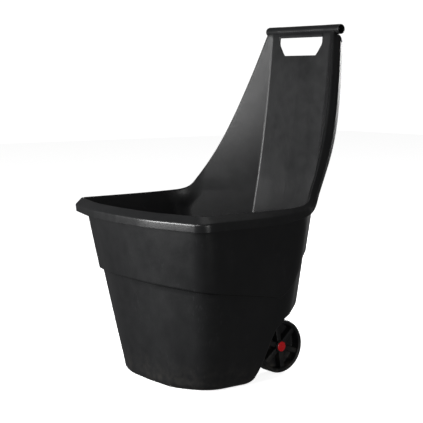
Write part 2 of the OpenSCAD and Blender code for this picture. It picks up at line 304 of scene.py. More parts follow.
def front_run(i, z, inset):
    """The part of the outline from the front middle to the start of the side."""
    a, b, c, _, _, f = corners(z, inset)
    cut_a, cut_b = a_cut + 0 * z, b_cut(z)
    flat = mix_points(f, toward(a, f, cut_a), i / n_front)
    turn_a = bend(toward(a, f, cut_a), a, toward(a, b, cut_a), clamp01((i - col_a) / n_turn))
    bevel = mix_points(toward(a, b, cut_a), toward(b, a, cut_b),
                       clamp01((i - col_a - n_turn) / n_flat))
    turn_b = bend(toward(b, a, cut_b), b, toward(b, c, cut_b), clamp01((i - col_b) / n_turn))
    tests = [i <= col_a, i <= col_a + n_turn, i <= col_b]
    return np.select([t[..., None] for t in tests], [flat, turn_a, bevel], turn_b)


def full_outline(i, z, inset):
    """The complete outline: front run, side, rear bevel and back panel."""
    i, z, inset = np.broadcast_arrays(i, z, inset)
    _, b, c, d, e, _ = corners(z, inset)
    start = toward(b, c, b_cut(z))
    side_l = np.linalg.norm(c - start, axis=-1)
    side = past_c(b, c, d, -side_l * (1 - side_fraction(np.minimum(i, col_c))), c_cut(z))
    width = np.linalg.norm(d - c, axis=-1)
    along = width * (i - col_c) / n_bevel
    rear = past_c(b, c, d, along, c_cut(z))
    across = (i - col_d) / n_panel
    panel_w = np.linalg.norm(e - d, axis=-1)
    reach = np.where(i < col_d, along - width, across * panel_w)
    fold_t = clamp01((reach + d_cut) / (2 * d_cut))
    fold = bend(toward(d, c, d_cut + 0 * z), d, toward(d, e, d_cut + 0 * z), fold_t)
    back = mix_points(d, e, clamp01(across))
    tests = [i <= col_side, i <= col_c, np.abs(reach) < d_cut, i < col_d]
    return np.select([t[..., None] for t in tests],
                     [front_run(i, z, inset), side, fold, rear], back)


print("stations on half the outline:", col_e + 1)

# %% [markdown]
# ## Wheel bays
#
# The lower rear corners are cut away so that the wheels sit inside the cart's outline.
# What is left between them is a narrow box that carries the axle. The bay's front edge
# is an arch that leans back as it rises, following the wheel.

# %% Outline with the wheel bays
box_x = track_in / 2 - wheel_gap
bay_roof = wheel_d + 19
box_floor = 30.0
box_back_y = axle_y + 30
bay_front_y = axle_y - wheel_d / 2 - 53
arch_z = bay_roof * np.array([0, 0.2, 0.5, 0.75, 0.92, 1.0])
arch_y = np.array([0, 18.0, 34, 45, 60, 78])


def arch(z):
    """The bay's front edge: a smooth curve through a few listed heights."""
    slope = np.gradient(arch_y, arch_z)
    k = np.clip(np.searchsorted(arch_z, z) - 1, 0, len(arch_z) - 2)
    h = arch_z[k + 1] - arch_z[k]
    t = clamp01((z - arch_z[k]) / h)
    low = (2 * t**3 - 3 * t**2 + 1) * arch_y[k] + (t**3 - 2 * t**2 + t) * h * slope[k]
    high = (3 * t**2 - 2 * t**3) * arch_y[k + 1] + (t**3 - t**2) * h * slope[k + 1]
    return bay_front_y + low + high


def bay_outline(i, z, inset, boxed):
    """The outline low down: side to the arch, across to the axle box and round its back.

    boxed says whether the box beside the axle is there, as it is above its own floor.
    """
    i, z, inset = np.broadcast_arrays(i, z, inset)
    turn = 9.0 + 0 * z
    _, b, c, _, _, _ = corners(z, inset)
    start = toward(b, c, b_cut(z))
    y1 = arch(z) - inset
    p1 = np.stack([side_at(z) - inset, y1], -1)
    p2 = np.stack([box_x + 0 * z, y1], -1)
    p3 = np.stack([box_x + 0 * z, box_back_y + 0 * z] if boxed else [box_x - 16 + 0 * z, y1], -1)
    e = np.stack([0 * z, p3[..., 1]], -1)
    small = turn if boxed else turn - 7
    u = (i - col_side) / n_side * 7
    q = (i - col_c) / n_bevel * 14
    to_arch = side_fraction(i) / side_fraction(col_side + n_side * 6 / 7)
    along_side = mix_points(start, toward(p1, b, turn), clamp01(to_arch))
    turn_1 = bend(toward(p1, b, turn), p1, toward(p1, p2, turn),
                  clamp01(np.where(q < 0, (u - 6) / 2, 0.5 + q / 2)))
    across = mix_points(toward(p1, p2, turn), toward(p2, p1, small), clamp01((q - 1) / 4))
    turn_2 = bend(toward(p2, p1, small), p2, toward(p2, p3, small), clamp01((q - 5) / 2))
    along = mix_points(toward(p2, p3, small), toward(p3, p2, small), clamp01((q - 7) / 5))
    turn_3 = bend(toward(p3, p2, small), p3, toward(p3, e, turn), clamp01((q - 12) / 2))
    back = mix_points(toward(p3, e, turn), e, clamp01((i - col_d) / n_panel))
    tests = [i <= col_side, u <= 6, q <= 1, q <= 5, q <= 7, q <= 12, q <= 14]
    parts = [front_run(i, z, inset), along_side, turn_1, across, turn_2, along, turn_3]
    return np.select([t[..., None] for t in tests], parts, back)


print("bay roof at", bay_roof, "mm, arch foot at y", bay_front_y)

# %% [markdown]
# ## Top edge and shoulder
#
# The top edge is level round the bucket and then climbs the rear bevel in one long curve
# to the handle. The shoulder is a shallow step lower down that stiffens the thin wall. It
# dips along the side and sweeps up again at the rear.


# %% Heights of the top edge and of the shoulder
def rail_z(reach):
    """A hyperbola: level before the rear corner, straight up the rail, with a slight sag."""
    climb = (rail_top - rim_h) * (reach - rail_start) / (rail_end - rail_start)
    return (rim_h - 1 + (climb + np.sqrt(climb * climb + rail_soft**2)) / 2
            - rail_sag * bump((reach - 0.37) / 0.17))


level = full_outline(station, rim_h + 0 * station, 0 * station)
reach = np.where(station >= col_c, (station - col_c) / n_bevel,
                 (level[:, 1] - shoulder_c_y) / rail_run)
rail_end_soft = 6.0
raw_top = rail_z(reach)
top_z = (raw_top + rail_top - np.sqrt((raw_top - rail_top) ** 2 + rail_end_soft**2)) / 2
top_z = np.where(reach < 0.7, raw_top, top_z)

shoulder_line = full_outline(np.minimum(station, col_c), shoulder_z + 0 * station, 0 * station)
dip = clamp01((shoulder_line[:, 1] - front_y - 45) / (shoulder_c_y - front_y - 95))
shoulder = (shoulder_z - shoulder_dip * dip
            + (shoulder_dip + shoulder_lift) * smooth((reach + 0.32) / 0.62))
print("top edge from", round(float(top_z.min())), "to", round(float(top_z.max())), "mm")

# %% [markdown]
# ## The wall as one grid
#
# Rings are stacked from the floor to the top edge. Low rings follow the bays, rings above
# the bay roof follow the full outline, and the rings at the shoulder step outwards. A ring
# near a bend sits close to the next one, so the bend reads as a small radius.

# %% Stack the rings of the outer wall
round_angle = np.linspace(0, np.pi / 2, 9)
rows = [(base_round * (1 - np.cos(t)), base_round * (1 - np.sin(t)), "open") for t in round_angle]
rows += [(box_floor - 2.5, 0.0, "open"), (box_floor - 1.4, 0.0, "open"),
         (box_floor + 1.4, 0.0, "boxed"), (box_floor + 3, 0.0, "boxed")]
rows += [(z, 0.0, "boxed") for z in np.linspace(38, bay_roof - 6, 24)]
rows += [(bay_roof - 3, 0.0, "boxed"), (bay_roof - 1, 0.0, "boxed")]
rows += [(bay_roof + 1 + 15 * (1 - np.cos(t)), 12 * (1 - np.sin(t)), "full")
         for t in np.linspace(0.12, np.pi / 2, 7)]
wall_rows = []
for z, inset, kind in rows:
    zz = z + 0 * station
    if kind == "full":
        ease = clamp01((station - col_c + n_side / 7) / (2 * n_side / 7))
        plan = full_outline(station, zz, shoulder_d + inset * ease)
    else:
        plan = bay_outline(station, zz, shoulder_d + inset + 0 * zz, kind == "boxed")
    wall_rows.append(np.column_stack([plan, zz]))
roof_end = bay_roof + 16
step_h = 6.5
low_shoulder = shoulder - step_h
for f in np.linspace(0, 1, 9)[1:]:
    zz = lerp(roof_end, low_shoulder, f)
    wall_rows.append(np.column_stack([full_outline(station, zz, shoulder_d + 0 * zz), zz]))
for f in (0.15, 0.3, 0.45, 0.6, 0.75, 0.9, 1.0):
    zz = low_shoulder + step_h * f
    wall_rows.append(np.column_stack([full_outline(station, zz, shoulder_d * (1 - smooth(f))), zz]))
first_high = len(wall_rows)
hand_top = cart_h - grip_d + 0.5
hand_low = hand_top - hand_h
hand_mid = hand_top - hand_h * 0.45
n_high = 84
for f in np.linspace(0, 1, n_high + 1)[1:]:
    zz = lerp(shoulder, top_z, f)
    wall_rows.append(np.column_stack([full_outline(station, zz, 0 * zz), zz]))
half_wall = np.array(wall_rows)
print("rings in the wall:", half_wall.shape[0])

# %% [markdown]
# ## Hand hole
#
# The hole under the grip is a slot with slanting lower corners. Because the panel is
# nearly flat there, the grid's own columns and rings can slide along it until they lie on
# the hole's edge. Leaving out the faces inside then gives a clean opening with no cutting.

# %% Slide the grid onto the hole's edge
ring_z = half_wall[:, -1, 2].copy()
low_ring, top_ring = (first_high + int(np.argmin(np.abs(ring_z[first_high:] - z)))
                      for z in (hand_low, hand_top))
hole_col = col_e - int(round(hand_w / 2 / (panel_flat / n_panel)))
eased_rings = 8
ease_ring = low_ring - eased_rings
ring_target = ring_z.copy()
ring_target[ease_ring:low_ring + 1] = np.linspace(ring_z[ease_ring], hand_low, eased_rings + 1)
ring_target[low_ring:top_ring + 1] = np.linspace(hand_low, hand_top, top_ring - low_ring + 1)
ring_target[top_ring:] = np.linspace(hand_top, ring_z[-1], len(ring_z) - top_ring)
half_hand, half_low = hand_w / 2, hand_low_w / 2
edge_x = np.interp(
    ring_target,
    [hand_low - 16, hand_low, hand_low + 1.5, hand_mid, hand_top, hand_top + 12],
    [half_hand, half_low, half_low + 2.5, half_hand, half_hand - 0.5, half_hand])
for r in range(ease_ring, len(ring_z)):
    x = half_wall[r, :, 0]
    z = half_wall[r, :, 2] + (ring_target[r] - ring_z[r]) * smooth((panel_flat + 25 - x) / 25)
    full = full_outline(station, z, 0 * z)
    slide = np.interp(full[:, 0], [0, full[hole_col, 0], panel_flat - 2],
                      [0, edge_x[r], panel_flat - 2])
    full[:, 0] = np.where(station > col_d, slide, full[:, 0])
    half_wall[r] = np.column_stack([full, z])
print("hole from", round(hand_low), "to", round(hand_top), "mm")

# %% Mirror the half into full rings and find the outward directions
mirror = half_wall[:, -2:0:-1].copy()
mirror[..., 0] *= -1
outer = np.concatenate([half_wall, mirror], 1)
n_ring = outer.shape[1]


def outward(rings):
    """Unit vectors square to the surface: ring direction crossed with the upward direction."""
    around = np.roll(rings, -1, 1) - np.roll(rings, 1, 1)
    upward = np.empty_like(rings)
    upward[1:-1] = rings[2:] - rings[:-2]
    upward[0] = rings[1] - rings[0]
    upward[-1] = rings[-1] - rings[-2]
    return unit(np.cross(around, upward))


normals = outward(outer)
inner = outer - wall * normals
inner[: len(round_angle), :, 2] = np.maximum(inner[: len(round_angle), :, 2], wall)
print("points in a ring:", n_ring)

# %% [markdown]
# ## Rolled rim
#
# The thin top edge is stiffened by rolling it outwards and down. It is a section carried
# round the top edge: a bead where it leaves the inner wall, a top that slopes outwards, a
# ridge, and a steep skirt with a thin hem. The rim is broad round the bucket, pinches in at
# the rear corner, widens again up both rails and shrinks under the grip.

# %% Carry the rim's profile round the top edge
ring_reach = np.concatenate([reach, reach[-2:0:-1]])
up_rail = smooth((ring_reach - 0.05) / 0.5)
at_end = smooth((ring_reach - rail_end) / 0.07)
pinch_w, rail_end_w, box_margin = 14.0, 0.62, 0.8
pinched = lerp(lip_w, pinch_w, smooth((ring_reach + 0.75) / 0.75))
rim_out = lerp(pinched, rail_w, up_rail) * lerp(1, rail_end_w, at_end) - box_margin
shallower = 0.2 * smooth((ring_reach + 0.5) / 0.5) * (1 - up_rail)
rim_down = skirt_h * lerp(1 - shallower, 0.35, at_end)
ridge_out = lerp(0.93, 0.72, smooth(ring_reach + 1))


def soften(values, width):
    """A running average round the ring, so the rim turns without a kink."""
    total = np.zeros_like(values)
    for k in range(-width, width + 1):
        total += np.roll(values, k, 0)
    return total / (2 * width + 1)


edge = outer[-1]
edge_along = unit(soften(unit(np.roll(edge, -1, 0) - np.roll(edge, 1, 0)), 3))
edge_out = soften(normals[-1], 3)
edge_out = unit(edge_out - (edge_out * edge_along).sum(-1, keepdims=True) * edge_along)
edge_down = np.cross(edge_along, edge_out)
edge_down *= np.where(edge_down[:, 2:3] > 0, -1, 1)


def round_over(a, b, c, cut, steps=7):
    """The corner b of the section a-b-c as a small curve; each is a pair (out, down)."""
    a, b, c = (np.stack([q[0] + 0 * cut, q[1] + 0 * cut], -1) for q in (a, b, c))
    p, q = toward(b, a, cut), toward(b, c, cut)
    return [tuple(np.moveaxis(bend(p, b, q, t + 0 * cut), -1, 0)) for t in np.linspace(0, 1, steps)]


def rim_profile(w, s, k):
    """Points (out, down) of the rim, from under it to the inside of the wall.

    Underside, steep skirt down and up again, a soft ridge, the sloping top and the bead
    where it rolls over to the inner face.
    """
    one = np.ones_like(w)
    ridge, bead, inside = (k * w, 0.42 * s), (0.12 * w, 0.5 * one), (-wall * one, 5 * one)
    crest, hem_end = (-0.4 * wall * one, 0.8 * one), (w, s - 0.6)
    under = [(0 * w, (wall + 2) * one), ((k - 0.02) * w - 0.75 * wall, 0.42 * s + 0.9 * wall),
             (w - wall, s - 1)]
    hem = [(w - wall + 0.4, s), (w - 0.5, s), hem_end]
    return (under + hem + round_over(hem_end, ridge, bead, 3.5 * one)
            + round_over(ridge, bead, crest, 1.2 * one)
            + round_over(bead, crest, inside, 0.8 * one) + [inside])


rim = np.array([edge + edge_out * o[:, None] + edge_down * d[:, None]
                for o, d in rim_profile(rim_out, rim_down, ridge_out)])
print("rim profile points:", len(rim))

# %% [markdown]
# ## Closing the shell
#
# Outer wall, rim and inner wall join into one closed skin of real thickness. The inner
# wall runs back down to the floor, and both floors close on a middle point. Faces within
# the hand hole are left out, and a narrow strip joins its two edges.

# %% Build the tub
skip_top = 2
inner_rings = inner[-1 - skip_top::-1]
skin = np.concatenate([outer[:-1], rim, inner_rings])
n_outer, n_rim = len(outer) - 1, len(rim)
floor_y = (front_at(0.0) + base_round + bay_front_y) / 2
points = np.concatenate([skin.reshape(-1, 3), [[0, floor_y, 0], [0, floor_y, wall]]])
quads = grid_quads(len(skin), n_ring)
ring_of, column_of = quads[:, 0] // n_ring, quads[:, 0] % n_ring
left, right = hole_col, 2 * col_e - hole_col
in_columns = (column_of >= left) & (column_of < right)
outer_hole = in_columns & (ring_of >= low_ring) & (ring_of < top_ring)
inner_index = len(skin) - 1 - ring_of
inner_hole = (in_columns & (inner_index > low_ring) & (inner_index <= top_ring)
              & (ring_of >= n_outer + n_rim))
quads = quads[~(outer_hole | inner_hole)]


def at(ring, column, inside):
    """Index of a grid point on the outer skin or on the inner one."""
    r = len(skin) - 1 - ring if inside else ring
    return r * n_ring + column


border = np.array([(low_ring, c) for c in range(left, right)]
                  + [(r, right) for r in range(low_ring, top_ring)]
                  + [(top_ring, c) for c in range(right, left, -1)]
                  + [(r, left) for r in range(top_ring, low_ring, -1)])
following = np.roll(border, -1, 0)
strip = np.stack([at(*border.T, False), at(*following.T, False),
                  at(*following.T, True), at(*border.T, True)], -1)
quads = np.concatenate([quads, strip])
bottom = np.arange(n_ring)
top_floor = (len(skin) - 1) * n_ring + np.arange(n_ring)
floors = [(len(points) - 2, bottom), (len(points) - 1, top_floor[::-1])]
tub = add_piece("bucket_shell", points, quads, floors)
volume = face_outwards(tub)
tub.data.set_sharp_from_angle(angle=math.radians(38))
print("bucket shell:", len(tub.data.polygons), "faces, plastic", round(volume * 1e6), "cm3")

# %% [markdown]
# ## Turned parts
#
# The grip, the wheel and its cap are round, so each is a profile turned about a line
# along X. The profile is a list of points (distance along X, radius), and it starts and
# ends on the axis, which closes the solid.


# %% Turn a profile about an axis along X
def turned(profile, centre_y, centre_z, steps=96, shape=None):
    """Each profile point sweeps a circle: y = cy + r sin(angle), z = cz + r cos(angle)."""
    profile = np.asarray(profile, float)
    angle = np.linspace(0, 2 * np.pi, steps, endpoint=False)
    x = np.repeat(profile[1:-1, 0][:, None], steps, 1)
    r = np.repeat(profile[1:-1, 1][:, None], steps, 1)
    if shape is not None:
        r = shape(x, r, angle[None, :])
    rings = np.stack([x, centre_y + r * np.sin(angle), centre_z + r * np.cos(angle)], -1)
    poles = np.array([[end, centre_y, centre_z] for end in profile[[0, -1], 0]])
    pts = np.concatenate([rings.reshape(-1, 3), poles])
    faces = grid_quads(len(rings), steps)
    count = len(rings) * steps
    fans = [(count, np.arange(steps)), (count + 1, (count - steps + np.arange(steps))[::-1])]
    return pts, faces, fans


def rounded(path, radius=0.8, steps=4):
    """Replaces each inner corner of a profile by a small arc, so edges catch the light."""
    path = np.asarray(path, float)
    out = [path[0]]
    for before, corner, after in zip(path[:-2], path[1:-1], path[2:]):
        shorter = min(np.linalg.norm(corner - before), np.linalg.norm(after - corner))
        reach_in = min(radius, 0.45 * shorter)
        p, q = (corner + unit(end - corner) * reach_in for end in (before, after))
        for t in np.linspace(0, 1, steps + 1):
            out.append((1 - t) ** 2 * p + 2 * t * (1 - t) * corner + t * t * q)
    out.append(path[-1])
    return np.array(out)


print("a square corner becomes", len(rounded([(0, 0), (1, 0), (1, 1)])), "points")

# %% [markdown]
# ## Grip
#
# The grip is the rolled top of the panel: a tube with open ends. Shallow ribs under its
# middle stop a wet glove from slipping, so the tube's radius is changed there by a wave
# along its length that fades out towards the top.

# %% Build the grip
grip_y, grip_z = rear_y - grip_d / 2, cart_h - grip_d / 2
half_l, bore_r, grip_r = grip_l / 2, grip_bore_d / 2, grip_d / 2
rib_pitch, rib_depth, ribbed_half = 7.0, 0.9, 92.0
bore_end = half_l - grip_bore_l
end_right = [(bore_end, 0), (bore_end, bore_r - 0.3), (half_l - 1.2, bore_r),
             (half_l, bore_r + 1), (half_l, grip_r - 1.2), (half_l - 1.6, grip_r)]
end_left = [(-x, r) for x, r in end_right[::-1]]
barrel = [(x, grip_r) for x in np.linspace(-half_l + 4, half_l - 4, 260)]
left_end, right_end = (rounded(path, 0.7) for path in (end_left + barrel[:1],
                                                       barrel[-1:] + end_right[::-1]))
grip_profile = np.concatenate([left_end[:-1], barrel, right_end[1:]])


def ribs(x, r, angle):
    """Scallops under the middle of the grip, 7 mm apart and 0.9 mm deep."""
    under = smooth((-np.cos(angle) + 0.35) / 0.9)
    middle = smooth((ribbed_half - np.abs(x)) / 10)
    on_barrel = r > grip_r - 0.01
    wave = 0.5 + 0.5 * np.cos(2 * np.pi * x / rib_pitch)
    return r - on_barrel * middle * (0.25 + rib_depth * under * wave)


grip = add_piece("pull_grip", *turned(grip_profile[::-1], grip_y, grip_z, 72, ribs))
face_outwards(grip)
grip.data.set_sharp_from_angle(angle=math.radians(45))
print("grip:", len(grip.data.polygons), "faces")

# %% [markdown]
# ## Axle tunnel
#
# The axle runs through a tube moulded across the box between the bays. It is a plain
# ring-shaped profile, turned like the rest.


# %% Build the axle tunnel
def turned_ring(profile, centre_y, centre_z, steps=96):
    """A closed profile (x, radius) that never meets the axis sweeps a ring."""
    profile = np.asarray(profile, float)
    angle = np.linspace(0, 2 * np.pi, steps, endpoint=False)
    closed = np.vstack([profile, profile[:1]])
    r = profile[:, 1][:, None]
    pts = np.stack([np.repeat(profile[:, 0][:, None], steps, 1), centre_y + r * np.sin(angle),
                    centre_z + r * np.cos(angle)], -1).reshape(-1, 3)
    faces = grid_quads(len(closed), steps)
    faces = np.where(faces >= len(pts), faces - len(pts), faces)
    return pts, faces


tunnel_half, axle_r = box_x - 1, axle_d / 2
tunnel_in, tunnel_out = axle_r + 0.2, axle_r + 4
tunnel_path = [(-tunnel_half, tunnel_in), (tunnel_half, tunnel_in),
               (tunnel_half, tunnel_out), (-tunnel_half, tunnel_out)]
tunnel = add_piece("axle_tunnel", *turned_ring(tunnel_path, axle_y, axle_z, 48))
face_outwards(tunnel)
tunnel.data.set_sharp_from_angle(angle=math.radians(40))
print("tunnel length:", 2 * tunnel_half, "mm")

# %% [markdown]
# ## Wheels
#
# Each wheel is moulded in one: a narrow tyre band, a web set well back from the face, six
# deep spokes and a hub. The band, web and hub are one turned profile. A spoke is a flat
# bar with softened edges that starts inside the hub and ends inside the band.

# %% Build one wheel's shape
spokes, spoke_w, spoke_turn, cap_d = 6, 14.0, 170.0, 24.0
wheel_in, wheel_out = track_in / 2, track_in / 2 + wheel_w
hub_r, hub_recess, cap_r = 15.0, 7.0, cap_d / 2
band_in = axle_z - 11
web_in, web_out = 9.0, 13.0
washer_l, washer_play = 1.5, 0.3
boss_x = box_x + washer_play + washer_l + washer_play - wheel_in
bore = axle_r + 0.15
wheel_path = [
    (boss_x, bore), (wheel_w - hub_recess, bore),
    (wheel_w - hub_recess, cap_r - 1.5), (wheel_w - 1, cap_r - 1.5),
    (wheel_w - 1, hub_r), (web_out, hub_r), (web_out, band_in), (wheel_w - 2, band_in + 1),
    (wheel_w, band_in + 4), (wheel_w, axle_z - 4), (wheel_w - 1, axle_z - 2), (wheel_w - 4, axle_z),
    (wheel_w * 0.5, axle_z), (3, axle_z), (0, axle_z - 3), (0, band_in + 1), (web_in, band_in),
    (web_in, hub_r), (boss_x, hub_r)]
softened = rounded(wheel_path + wheel_path[:2], 1.0)[1:]
wheel_points, wheel_faces = turned_ring(softened[:-1], 0.0, 0.0, 128)


def spoke_bar(turn):
    """A bar from the hub to the band: a superellipse section carried outwards.

    Half-width narrows slightly outwards and the front face drops away towards the band.
    """
    along = np.linspace(hub_r - 4, band_in + 2, 16)
    s = np.linspace(0, 2 * np.pi, 32, endpoint=False)
    c, n = np.cos(s), np.sin(s)
    u, v = np.sign(c) * np.abs(c) ** 0.35, np.sign(n) * np.abs(n) ** 0.35
    f = (along - along[0]) / (along[-1] - along[0])
    half = (spoke_w / 2) * (1 - 0.08 * f)
    front, back = wheel_w - 5.0 - 1.5 * smooth(f), 10.0
    x = (front + back)[:, None] / 2 + (front - back)[:, None] / 2 * v[None, :]
    across = half[:, None] * u[None, :]
    r = np.repeat(along[:, None], len(s), 1)
    y = r * np.sin(turn) + across * np.cos(turn)
    z = r * np.cos(turn) - across * np.sin(turn)
    rings = np.stack([x, y, z], -1)
    ends = np.stack([rings[0].mean(0), rings[-1].mean(0)])
    return np.concatenate([rings.reshape(-1, 3), ends]), len(rings), len(s)


def joined_wheel():
    """The turned body and its spokes, as one list of points, quads and fans."""
    pts, faces, fans, start = [wheel_points], [wheel_faces], [], len(wheel_points)
    for k in range(spokes):
        bar, rows_in_bar, steps = spoke_bar(math.radians(spoke_turn + 360 * k / spokes))
        faces.append(grid_quads(rows_in_bar, steps, start))
        last = start + rows_in_bar * steps
        fans += [(last, start + np.arange(steps)),
                 (last + 1, (last - steps + np.arange(steps))[::-1])]
        pts.append(bar)
        start += len(bar)
    return np.concatenate(pts), np.concatenate(faces), fans


wheel_pts, wheel_quads, wheel_fans = joined_wheel()
print("wheel points:", len(wheel_pts))


# %% Place a wheel on each side
def placed(points_mm, side):
    """Moves wheel points from their own axis to the axle, on the right (1) or left (-1)."""
    moved = points_mm + np.array([wheel_in, axle_y, axle_z])
    moved[:, 0] *= side
    return moved


wheels = {}
for label, side in (("right", 1), ("left", -1)):
    piece = add_piece(f"spoked_wheel_{label}", placed(wheel_pts, side), wheel_quads, wheel_fans)
    face_outwards(piece)
    piece.data.set_sharp_from_angle(angle=math.radians(42))
    wheels[label] = piece
print("wheels:", sorted(wheels))

# %% [markdown]
# ## Hub caps
#
# A red button snaps into each hub and hides the push nut that holds the wheel on. Its
# face is a low dome with a soft rim.

# %% Build the caps
dome_h = 2.5
dome = [(wheel_w + dome_h * math.sin(t), cap_r * math.cos(t)) for t in np.linspace(0, np.pi / 2, 16)]
socket_path = [
    (wheel_w + 0.2, 0), (wheel_w + 0.2, cap_r - 3.2), (wheel_w - 4.5, cap_r - 3.2),
    (wheel_w - 4.5, cap_r - 1.6), (wheel_w - 0.9, cap_r - 1.6), (wheel_w - 0.9, cap_r - 0.2),
    (wheel_w - 0.3, cap_r)]
cap_profile = np.vstack([rounded(socket_path + dome[:1], 0.25), dome[1:-1], [(wheel_w + dome_h, 0)]])
cap_pts, cap_quads, cap_fans = turned(cap_profile, 0, 0, 64)
caps = {}
for label, side in (("right", 1), ("left", -1)):
    piece = add_piece(f"red_cap_{label}", placed(cap_pts, side), cap_quads, cap_fans)
    face_outwards(piece)
    piece.data.set_sharp_from_angle(angle=math.radians(50))
    caps[label] = piece
print("caps:", sorted(caps))

# %% [markdown]
# ## Shared surface effects
#
# Moulded plastic is never one even colour. It carries a fine spark-eroded grain, broad
# faint clouds where the melt cooled, and a few rub marks. Two node groups make these
# once, and each material sets its own strengths.


# %% Helpers for node groups
def new_group(name, inputs, outputs):
    """An empty shader group with named sockets: (name, type, default) in, (name, type) out."""
    group = bpy.data.node_groups.new(name, "ShaderNodeTree")
    for label, kind, value in inputs:
        socket = group.interface.new_socket(label, in_out="INPUT", socket_type=kind)
        if value is not None:
            socket.default_value = value
    for label, kind in outputs:
        group.interface.new_socket(label, in_out="OUTPUT", socket_type=kind)
    start, end = group.nodes.new("NodeGroupInput"), group.nodes.new("NodeGroupOutput")
    return group, start, end


def noise(group, vector, scale, detail=4.0, rough=0.55):
    """A noise texture of the given scale, reading the given coordinates."""
    node = group.nodes.new("ShaderNodeTexNoise")
    node.inputs["Scale"].default_value = scale
    node.inputs["Detail"].default_value = detail
    node.inputs["Roughness"].default_value = rough
    group.links.new(vector, node.inputs["Vector"])
    return node.outputs["Fac"]


def remap(group, value, low, high, to_low, to_high):
    """Stretches a range of values onto another, and holds it inside."""
    node = group.nodes.new("ShaderNodeMapRange")
    group.links.new(value, node.inputs["Value"])
    ends = {"From Min": low, "From Max": high, "To Min": to_low, "To Max": to_high}
    for label, number in ends.items():
        node.inputs[label].default_value = number
    return node.outputs["Result"]


def combine(group, how, a, b):
    """One maths step between two sockets, or a socket and a number."""
    node = group.nodes.new("ShaderNodeMath")
    node.operation = how
    for k, value in enumerate((a, b)):
        if isinstance(value, (int, float)):
            node.inputs[k].default_value = value
        else:
            group.links.new(value, node.inputs[k])
    return node.outputs[0]


# %% Moulded grain: fine pebble height, slow clouds and rub marks
grain, g_in, g_out = new_group(
    "moulded_grain",
    [("Vector", "NodeSocketVector", None), ("Grain Scale", "NodeSocketFloat", 900.0)],
    [("Height", "NodeSocketFloat"), ("Clouds", "NodeSocketFloat"), ("Rubs", "NodeSocketFloat")])
pebble = grain.nodes.new("ShaderNodeTexVoronoi")
pebble.feature = "SMOOTH_F1"
grain.links.new(g_in.outputs["Vector"], pebble.inputs["Vector"])
grain.links.new(g_in.outputs["Grain Scale"], pebble.inputs["Scale"])
mottle = noise(grain, g_in.outputs["Vector"], 160.0, 5.0, 0.6)
height = combine(grain, "ADD", combine(grain, "MULTIPLY", pebble.outputs["Distance"], 0.5),
                 combine(grain, "MULTIPLY", mottle, 0.5))
grain.links.new(height, g_out.inputs["Height"])
broad = noise(grain, g_in.outputs["Vector"], 5.0, 3.0)
small = noise(grain, g_in.outputs["Vector"], 38.0, 4.0)
clouds = combine(grain, "ADD", combine(grain, "MULTIPLY", broad, 0.6),
                 combine(grain, "MULTIPLY", small, 0.4))
grain.links.new(remap(grain, clouds, 0.35, 0.65, 0.0, 1.0), g_out.inputs["Clouds"])
stretch = grain.nodes.new("ShaderNodeMapping")
stretch.inputs["Scale"].default_value = (1.0, 1.0, 0.12)
stretch.inputs["Rotation"].default_value = (0.35, 0.2, 0.0)
grain.links.new(g_in.outputs["Vector"], stretch.inputs["Vector"])
streak = noise(grain, stretch.outputs["Vector"], 240.0, 2.0, 0.4)
patch = noise(grain, g_in.outputs["Vector"], 9.0, 3.0, 0.5)
rubs = combine(grain, "MULTIPLY", remap(grain, streak, 0.62, 0.74, 0.0, 1.0),
               remap(grain, patch, 0.5, 0.68, 0.0, 1.0))
grain.links.new(rubs, g_out.inputs["Rubs"])
print("group:", grain.name)

# %% [markdown]
# ## Settled dust
#
# A little pale dust gathers where the cart meets the ground, thinning upwards. The group
# puts out a mask that depends on height and is broken up by noise.

# %% Dust mask
dust, d_in, d_out = new_group(
    "settled_dust",
    [("Vector", "NodeSocketVector", None), ("Top", "NodeSocketFloat", 0.08)],
    [("Mask", "NodeSocketFloat")])
split = dust.nodes.new("ShaderNodeSeparateXYZ")
dust.links.new(d_in.outputs["Vector"], split.inputs["Vector"])
fall = combine(dust, "SUBTRACT", 1.0, combine(dust, "DIVIDE", split.outputs["Z"], d_in.outputs["Top"]))
fall = remap(dust, fall, 0.0, 1.0, 0.0, 1.0)
broken = remap(dust, noise(dust, d_in.outputs["Vector"], 55.0, 6.0, 0.65), 0.42, 0.68, 0.0, 1.0)
dust.links.new(combine(dust, "MULTIPLY", fall, broken), d_out.inputs["Mask"])
print("group:", dust.name)


# %% [markdown]
# ## Materials
#
# Each plastic mixes two close tones by the clouds, lightens slightly where it has been
# rubbed, and takes its roughness from the same masks, so colour and gloss change
# together as they do on a real moulding.


# %% A plastic made from the shared groups
dust_colour = (0.20, 0.18, 0.15)


